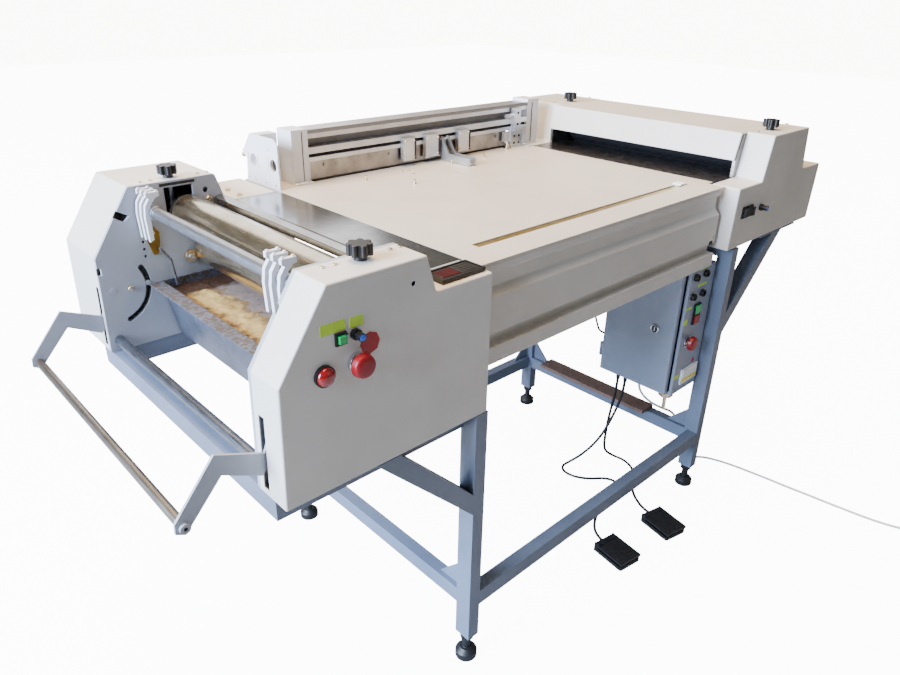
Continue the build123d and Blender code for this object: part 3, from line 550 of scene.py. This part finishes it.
# radius and height of each turn
COIL_RINGS = [(45.5, 4.2), (38.5, 4.2), (31.5, 4.2), (35.0, 10.4), (42.0, 10.4), (38.5, 16.6), (45.5, 16.6)]
TURN_POINTS = 14
PEDAL_CORD = 8.0
MAINS_CORD = 7.0
GLAND_FOOT = 349.5                # height of the cabinet's cord openings
# radius and height of a ribbed strain relief
BOOT = [(8.5, 0.0), (8.0, 3.0), (6.2, 5.0), (6.2, 9.0), (5.4, 10.0), (5.6, 14.0), (4.9, 15.0), (5.1, 19.0),
        (4.5, 20.0), (4.6, 24.0), (4.0, 26.0), (3.55, 30.0)]


def cable(name, points, diameter, paint):
    """One smooth tube along its route."""
    curve = bpy.data.curves.new(name, "CURVE")
    curve.dimensions = "3D"
    curve.bevel_depth = diameter / 2000
    curve.bevel_resolution = 4
    curve.use_fill_caps = True
    line = curve.splines.new("NURBS")
    line.points.add(len(points) - 1)
    for point, place in zip(line.points, points):
        point.co = (*at(*place), 1)
    line.order_u = 3
    line.use_endpoint_u = True
    line.resolution_u = 10
    curve.materials.append(PAINT[paint])
    piece = bpy.data.objects.new(name, curve)
    bpy.context.scene.collection.objects.link(piece)
    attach(piece, "machine")
    return piece


def coil_points():
    """The put-away length: turns side by side in nested layers, wound from the outside."""
    inward = math.cos(math.pi / TURN_POINTS)   # a spline runs this much inside its own points
    last = len(COIL_RINGS) - 1
    points = []
    for step in range(last * TURN_POINTS + 2):
        i, share = step // TURN_POINTS, step % TURN_POINTS / TURN_POINTS
        blend = max(0.0, (share - COIL_STEP) / (1 - COIL_STEP))
        here, following = COIL_RINGS[i], COIL_RINGS[min(i + 1, last)]
        radius, height = (a + (b - a) * blend for a, b in zip(here, following))
        angle = COIL_START + 2 * math.pi * step / TURN_POINTS
        points.append((COIL_CENTRE[0] + radius / inward * math.cos(angle),
                       COIL_CENTRE[1] + radius / inward * math.sin(angle), height))
    return points


def make_cords():
    """The two pedal leads and the mains lead with its coil and plug."""
    for tag, route, length in (("1", PEDAL_ROUTE_1, 0.87), ("2", PEDAL_ROUTE_2, 0.66)):
        piece = cable("pedal_lead_" + tag, route, PEDAL_CORD, "cord_black")
        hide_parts("pedal_cable_" + tag)
    mains = cable("mains_lead", MAINS_ROUTE + coil_points() + PLUG_TAIL, MAINS_CORD, "cord_grey")
    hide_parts("mains_cord", "mains_coil")
    turned("mains_strain_relief", BOOT, [(832, 160, GLAND_FOOT)], DOWN, "cord_grey")
    wide = [(radius + 1.2, height) for radius, height in BOOT]
    turned("pedal_strain_reliefs", wide, [(806, y, GLAND_FOOT) for y in (190, 214)], DOWN, "cord_black")
    x, y, z = PLUG_TAIL[-1]
    slim = [(radius * 0.9, height) for radius, height in BOOT[2:-1]] + [(3.6, 29.0)]
    turned("plug_strain_relief", slim, [(x + 5, y, z)], (-1, 0.03, 0), "cord_grey")


# controls and small parts -------------------------------------------------------------------

def screw_faces():
    """Dark hexagon sockets in the covers' and table's screws, the roller bolt and two domed screws."""
    tops = [(x, y, 965.4) for x in (-267, -246, -145, -125) for y in (56, 700)]
    tops += [(1040, 55, 1012.5), (1221, 60, 1012.5), (1040, 710, 1012.5), (1218, 710, 1012.5)]
    tops += [(372, 652, 902), (394, 652, 902)]
    turned("cover_screw_sockets", [(1.7, -0.4), (1.7, 0.12), (1.2, 0.02)], tops, UP, "dark_recess", steps=6)
    turned("large_screw_sockets", [(2.8, -0.4), (2.8, 0.12), (2.0, 0.02)],
           [(-52, y, 905) for y in (705, 760)], UP, "dark_recess", steps=6)
    turned("roller_bolt_head", [(7.5, 0), (7.5, 4.2), (6.6, 5.0), (2.6, 5.0), (2.4, 3.2)],
           [(-196, 669, 800)], FRONT, "chrome", steps=6, edge_mm=0.3)
    turned("plate_screw_domes", dome(5.5, 2.4), [(-139, 672, 915), (-330, 673, 760)], FRONT,
           "bright_steel")


def knob_faces():
    """Bright caps in the star knobs, blue caps on the speed knobs and a steel sleeve on the far screw."""
    cap = [(7.5, -1.4), (7.5, -0.8), (6.6, -0.2), (3.0, 0.0), (2.6, -0.6)]
    for side, unit, place in (("near", "glue", (-205, 50, 988.9)), ("far", "glue", (-205, 706, 988.9)),
                              ("near", "press", (1098, 50, 1036)), ("far", "press", (1098, 696, 1036))):
        turned(f"star_cap_{unit}_{side}", cap, [place], UP, "fence_aluminium", f"knob_{unit}_{side}", 24)
    turned("gap_screw_sleeve", [(5.2, 0), (6.0, 1), (6.0, 48), (5.2, 50)], [(-205, 706, 903)], UP,
           "bar_steel", "knob_glue_far", 24)
    for unit, x, z in (("glue", -256, 878), ("press", 1017, 833)):
        turned(f"speed_cap_{unit}", [(5.4, -0.5), (5.4, 0.6), (4.6, 1.2), (0.6, 1.2)], [(x, -19.4, z)], FRONT,
               "blue_plastic", f"speed_{unit}", 24)


def control_faces():
    """Collars, lens, display and buttons on the front cover and the cabinet."""
    turned("stop_collar_glue", ring(8.4, 15.5, 8.7), [(-256, -0.2, 833)], FRONT, "chrome", capped=False)
    turned("stop_collar_cabinet", ring(8.4, 16.5, 8.6), [(815, 33.8, 503)], FRONT, "chrome", capped=False)
    for unit, place in (("glue", (-256, -24.9, 833)), ("cabinet", (815, 9.1, 503))):
        turned(f"stop_dome_{unit}", dome(16.8, 2.4, 0.2), [place], FRONT, "red_plastic", f"stop_{unit}", 40)
    turned("lamp_lens", dome(14.6, 9.0, 0.15, 7), [(-312, -5.6, 830)], FRONT, "red_lens", steps=40)
    bar("meter_display", -66, -26, 22, 50, 906.6, 907.3, "smoked_window", edge_mm=0.5)
    bar("meter_face", -25, 14, 18, 54, 906.6, 907.5, "black_plastic", edge_mm=0.6)
    for i in range(4):
        y = 22 + i * 8
        bar(f"meter_key_{i}", -14, 4, y, y + 4, 907.4, 908.1, "black_rubber", edge_mm=0.5)
    bar("rocker_ridge_left", 926, 929, -10.4, -8.6, 826, 843, "black_plastic", "rocker", 0.4)
    bar("rocker_ridge_right", 958, 961, -11.9, -9.8, 826, 843, "black_plastic", "rocker", 0.4)
    cabinet_face()
    door_lock_face()


CABINET_FACE = 34         # y of the cabinet's front
SOCKETS = ((854, 684), (807, 683), (852, 631), (807, 631))
PIN_CIRCLE = 3            # radius on which a socket's three pins stand


def cabinet_face():
    """Rims and pins of the four sockets, the mains outlet's lid and the bar between the two buttons."""
    face = CABINET_FACE
    turned("socket_rims", ring(6.6, 9.2, 1.6), [(x, face - 7.6, z) for x, z in SOCKETS], FRONT,
           "black_plastic", steps=28, capped=False)
    pins = [(x + PIN_CIRCLE * math.cos(a), face - 4, z + PIN_CIRCLE * math.sin(a)) for x, z in SOCKETS
            for a in (math.pi / 2, math.pi * 7 / 6, math.pi * 11 / 6)]
    turned("socket_pins", [(0.7, 0), (0.7, 2.4), (0.3, 2.9)], pins, FRONT, "brass", steps=10)
    bar("outlet_strip", 818, 892, face - 6.2, face - 4.9, 380, 388, "yellow_plastic", edge_mm=0.5)
    bar("outlet_lid", 821, 889, face - 6.8, face - 4.9, 391, 414, "white_plastic", edge_mm=0.8)
    bar("button_divider", 827, 853, face - 6.4, face - 4.6, 574.6, 577.4, "black_plastic", edge_mm=0.5)


def door_lock_face():
    """The lock's chromed rim, its dark core and the key slot."""
    turned("lock_face", ring(9.2, 11.8, 1.6), [(763.4, 100, 532)], LEFT, "chrome", "lock", 36, capped=False)
    turned("lock_core", [(9.1, -0.2), (9.1, 0.25), (8.4, 0.5), (0.4, 0.5)], [(763, 100, 532)], LEFT,
           "black_plastic", "lock", 30)
    bar("lock_key_slot", 762.1, 762.6, 98.8, 101.2, 526, 538, "chrome", "lock", 0.1)


RAIL_X = (134.5, 906.5)       # between the fence's two posts
CARRIAGES = (("carriage_left", 413, 455), ("carriage_middle", 490, 540), ("carriage_right", 610, 655))


def fence_details():
    """Seals, slots and screws along the gauge fence, and strips of painted shade in its recess, groove and
    foot gap.
    """
    bar("rail_shadow_strip", *RAIL_X, 729, 731.9, 981.6, 1000.4, "rubber_strip", edge_mm=0.3)
    bar("rail_top_cap", *RAIL_X, 705.6, 707.2, 1012.6, 1021.4, "rubber_strip", edge_mm=0.3)
    bar("rail_groove_shadow", *RAIL_X, 714.6, 715.9, 958.4, 965.6, "dark_recess", edge_mm=0.2)
    # A black strip of painted shade in the gap along the back plate's foot.
    bar("fence_foot_shade_strip", 140.5, 822.5, 708.6, 711.9, 900.1, 904.4, "dark_recess", edge_mm=0.5)
    # Black bars of painted shade over the posts' slits.
    bar("post_slot_left", 117.2, 118.8, 705.4, 705.9, 906, 1019, "dark_recess", edge_mm=0.1)
    bar("post_slot_right", 926.4, 929.6, 705.4, 706.2, 906, 1019, "dark_recess", edge_mm=0.1)
    bar("post_foot_left", 88, 136, 694, 706.2, 900.1, 903.6, "white_paint", edge_mm=0.8)
    bar("post_foot_right", 878, 906, 694, 706.2, 900.1, 903.6, "white_paint", edge_mm=0.8)
    turned("post_foot_screws", dome(3.4, 2.6), [(x, 700, 903.6) for x in (98, 126, 886, 899)], UP,
           "bright_steel", steps=20)
    turned("bracket_foot", [(13, 0), (13, 2.5), (11.5, 3.2), (7, 3.4), (6.5, 14), (5.5, 15)],
           [(808, 690, 900.2)], UP, "bright_steel", steps=32)
    bolts = [(x, 694, z) for z in (912, 932) for x in (841, 861)] + [(849, 690, 966), (849, 690, 998)]
    turned("bracket_bolts", dome(3.6, 3.0), bolts, FRONT, "black_plastic", steps=20)
    for body, x0, x1 in CARRIAGES:
        bolts = [(x, 692, z) for x in (x0 + 7, x1 - 7) for z in (922, 964)]
        turned(body + "_bolts", dome(2.8, 2.2), bolts, FRONT, "bright_steel", body, 16)
        bar(body + "_clamp", x1 - 5, x1 - 1, 690.2, 692.4, 916, 970, "dark_recess", body, 0.3)
    # A black disc of painted shade behind the housing's round hole.
    turned("housing_hole_back", [(15.5, 0), (15.5, 0.8), (0.5, 0.8)], [(47, 706, 952)], LEFT, "dark_recess")
    turned("housing_screws", dome(2.6, 1.6), [(38, y, 908) for y in (700, 745, 790, 822)] + [(38, 722, 985)],
           LEFT, "bright_steel", steps=16)
    turned("housing_rear_bolt", [(5.5, -2), (5.5, 4), (4.6, 5)], [(39.5, 838, 958)], LEFT, "bright_steel",
           steps=6, edge_mm=0.4)


def table_details():
    """The seams of the table's inlaid sheet, painted shade on the floor of its slot and in the cut at the
    fascia's end, and the fascia's screw.
    """
    bar("table_seam_long", 474.5, 475.7, 331, 632.4, 899.5, 900.05, "rubber_strip", edge_mm=0.1)
    bar("table_seam_short", 426, 475.7, 631.0, 632.2, 899.5, 900.05, "rubber_strip", edge_mm=0.1)
    # Black strips of painted shade: on the slot's floor, and in the cut at the fascia's end.
    bar("slot_shadow", 100.6, 788, 120.2, 125.7, 880.2, 881.4, "dark_recess", edge_mm=0.2)
    bar("fascia_notch_shadow", 838, 852, 29.8, 31.2, 762, 771, "dark_recess", edge_mm=0.2)
    turned("fascia_screw", dome(4.5, 2.2), [(854, 31, 782)], FRONT, "bright_steel", steps=20)


def glue_unit_details():
    """The upper roller's dark end, the lever's socket, the scraper's screws, and painted shade behind the far
    plate's window and in the notch at its fold.
    """
    back = (0, 1, 0)
    turned("roller_end_seal", ring(30.0, 42.0, 1.6), [(-189, 668.6, 890)], back, "dark_recess",
           "upper_roller", 64, capped=False)
    turned("roller_end_band", ring(41.6, 42.05, 9.0), [(-189, 656.5, 890)], back, "dark_recess",
           "upper_roller", 96, capped=False)
    turned("lever_end_sockets", [(3.2, -0.4), (3.2, 0.1), (2.4, 0.0)], [(-520, 44, 648)], FRONT,
           "dark_recess", "lever", 6)
    turned("scraper_screws", dome(4.2, 0.8), [(-281, 673, 866), (-268, 673, 865)], FRONT, "bright_steel",
           steps=20)
    # Black sheets of painted shade: inside the far cover behind its window, and in the notch at the far
    # plate's fold.
    bar("window_shadow", -250, -148, 730, 731, 884, 958, "dark_recess", edge_mm=0.2)
    bar("fold_notch_shade", -238, -164, 675.9, 677.1, 953.5, 959, "dark_recess", edge_mm=0.2)


GLUE_X = (-261.2, -103.0)
GLUE_Y = (86.4, 669.0)
GLUE_TOP = 744.2
GLUE_BASE = 639               # height of the tray's floor
GLUE_CELLS = (54, 190)        # along X and Y
LUMP_MM = 21
FOAM_RISE = 2.6               # how far the foam stands up or dips, in millimetres
WET_FROM = -205               # the foam ends here and thins out over the next WET_WIDTH
WET_WIDTH = 50
RIM_CELLS = 3                 # the surface flattens over this many cells at the tray's walls
TRAY_MIDDLE = -182
TRAY_TAPER = 0.76             # the tray's width at its floor, against that at the top


def glue_surface():
    """The glue: lumpy foam near the lip, smoother and wet towards the rollers, down to the tray's floor."""
    (x0, x1), (y0, y1) = GLUE_X, GLUE_Y
    columns, rows = GLUE_CELLS
    points, faces = [], []
    for r in range(rows + 1):
        for c in range(columns + 1):
            x = x0 + (x1 - x0) * c / columns
            y = y0 + (y1 - y0) * r / rows
            foam = noise.fractal(Vector((x, y, 0)) / LUMP_MM, 0.9, 2.1, 5)
            wet = min(1.0, max(0.0, (x - WET_FROM) / WET_WIDTH))
            rim = min(1.0, c / RIM_CELLS, (columns - c) / RIM_CELLS, r / RIM_CELLS, (rows - r) / RIM_CELLS)
            height = GLUE_TOP + rim * foam * (FOAM_RISE - 2.0 * wet) - 1.2 * wet * rim
            points.append(at(x, y, height))
    for r in range(rows):
        for c in range(columns):
            a = r * (columns + 1) + c
            faces.append((a, a + 1, a + columns + 2, a + columns + 1))
    edge = list(range(columns + 1))
    edge += [r * (columns + 1) + columns for r in range(1, rows + 1)]
    edge += [rows * (columns + 1) + c for c in range(columns - 1, -1, -1)]
    edge += [r * (columns + 1) for r in range(rows - 1, 0, -1)]
    first = len(points)
    for i in edge:
        x, y, z = (points[i] - LEG_CORNER) * 1000
        points.append(at(TRAY_MIDDLE + (x - TRAY_MIDDLE) * TRAY_TAPER, y, GLUE_BASE))
    for k in range(len(edge)):
        following = (k + 1) % len(edge)
        faces.append((edge[following], edge[k], first + k, first + following))
    faces.append(tuple(first + k for k in range(len(edge)))[::-1])
    mesh = bpy.data.meshes.new("glue_bath")
    mesh.from_pydata(points, [], faces)
    piece = finish_piece("glue_bath", mesh, "dried_glue", "tray", 0.3)
    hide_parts("glue_fill")


# place of each pedal's middle and its turn in degrees
PEDALS = {"a": (518.5, -25.5, -8.7), "b": (706.0, -46.5, -12.0)}
RIBS = 9
RIB_PITCH = 8


def pedal_details():
    """Grip ribs and a toe guard on each treadle."""
    for tag, (px, py, turn) in PEDALS.items():
        c, s = math.cos(math.radians(turn)), math.sin(math.radians(turn))

        def local(x, y, z):
            return at(px + x * c - y * s, py + x * s + y * c, z)

        body = "treadle_" + tag
        for i in range(RIBS):
            y = -42 + i * RIB_PITCH
            bar(f"{body}_rib_{i}", -31, 31, y - 1.6, y + 1.6, 21.6, 23.4, "pedal_plastic", body, 0.7, local)
        bar(f"{body}_toe_guard", -35.4, 35.4, 30.6, 32.2, 21.4, 24.4, "pedal_plastic", body, 0.7, local)


# finishes of nodes with several solids ------------------------------------------------------

def choose_fitting(x, y, z):
    """White mains outlet, steel gland nut and chromed stop ring on the cabinet; the rest is black."""
    if y >= 20:
        if z < 345 and y <= 100:
            return "bright_steel"
        if 373 < z < 418 and x > 812 and y < 36:
            return "white_plastic"
        if 495 < z < 511 and x < 820:
            return "chrome"
    return "black_plastic"


def choose_label(x, y, z):
    """The octagon behind the glue unit's stop knob and the cabinet's triangle are red."""
    return "red_film" if (x < -215 and 852 < z < 858) or 420 < z < 445 else "label_film"


def choose_glue_plate(x, y, z):
    """Painted side plates, a bare tie rod and a stained scraper."""
    if y < 90 or 676 < y < 690:
        return "side_plate_paint"
    return "shaft_steel" if z < 700 else "stained_brass"


def choose_fence_post(x, y, z):
    """The stop bracket is aluminium, the posts are painted."""
    return "fence_aluminium" if 780 < x < 880 else "white_paint"


def choose_stripper(x, y, z):
    """The shaft spans the unit, so its middle is half way across."""
    return "bar_steel" if z > 915 and 350 < y < 420 else "hook_paint"


def choose_lever(x, y, z):
    """The handle spans the unit between the two painted arms."""
    return "handle_steel" if 350 < y < 400 else "side_plate_paint"


# all pieces ---------------------------------------------------------------------------------

# node, edge rounding in millimetres and finish of each CAD shape that gets rounded edges
ROUNDED = (("glue_front_cover", 0.5, "cover_paint"), ("glue_far_cover", 0.5, "cover_paint"),
           ("press_front_cover", 0.5, "cover_paint"), ("press_far_cover", 0.5, "cover_paint"),
           ("press_hood", 2.2, "cover_paint"), ("table_fascias", 1.6, "cover_paint"),
           ("fence_end_housing", 1.6, "white_paint"),
           ("stand_frame", 1.6, "stand_paint"), ("cabinet_body", 0.8, "cabinet_paint"),
           ("cabinet_door", 1.0, "cabinet_paint"), ("glue_tray", 0.6, "tray_steel"),
           ("press_inner_frame", 0.8, "plate_steel"),
           ("feed_plate", 0.8, "feed_steel"),
           ("fence_rail", 0.4, "fence_aluminium"), ("fence_back_plate", 0.3, "galvanised"),
           ("gauge_carriage_left", 0.7, "fence_aluminium"), ("gauge_carriage_middle", 0.7, "fence_aluminium"),
           ("gauge_carriage_right", 0.7, "fence_aluminium"), ("gauge_finger", 0.5, "fence_aluminium"),
           ("levelling_feet", 1.2, "black_rubber"), ("rail_board", 0.6, "hardboard"),
           ("table_inserts", 0.4, "brass"), ("slot_slider", 0.8, "white_plastic"),
           ("start_button", 0.9, "green_plastic"), ("halt_button", 0.9, "red_plastic"),
           ("green_button", 0.9, "green_plastic"), ("rocker_switch", 0.6, "black_plastic"),
           ("door_lock", 0.6, "chrome"), ("mains_plug", 0.8, "cord_grey"))
STAR_KNOBS = ("star_knob_glue_near", "star_knob_glue_far", "star_knob_press_near",
              "star_knob_press_far")


def main():
    make_materials()
    make_studio()
    make_camera()
    for node, width, paint in ROUNDED:
        softened(node, width, paint)
    for node in STAR_KNOBS:
        softened(node, 2.2, "black_plastic", 3)
    for node in ("stop_knob_glue", "stop_knob_cabinet"):
        softened(node, 2.5, "red_plastic", 4)
    for tag in ("1", "2"):
        softened("treadle_" + tag, 1.2, "pedal_plastic")
    sorted_parts("panel_fittings", 0.5, choose_fitting)
    sorted_parts("label_plates", 0.08, choose_label)
    sorted_parts("glue_side_plates", 0.8, choose_glue_plate)
    sorted_parts("fence_posts", 0.9, choose_fence_post)
    sorted_parts("stripper_set", 0.8, choose_stripper)
    sorted_parts("tray_lever", 1.4, choose_lever)
    softened("fasteners", 0.7, "bright_steel", 3)
    glue_surface()
    glue_unit_details()
    screw_faces()
    knob_faces()
    control_faces()
    fence_details()
    table_details()
    pedal_details()
    make_cords()
    for node in NODES:
        if not NODES[node].hide_render:
            paint_node(node, "table_paint" if node == "table_top" else SLOT_OF[node])


main()
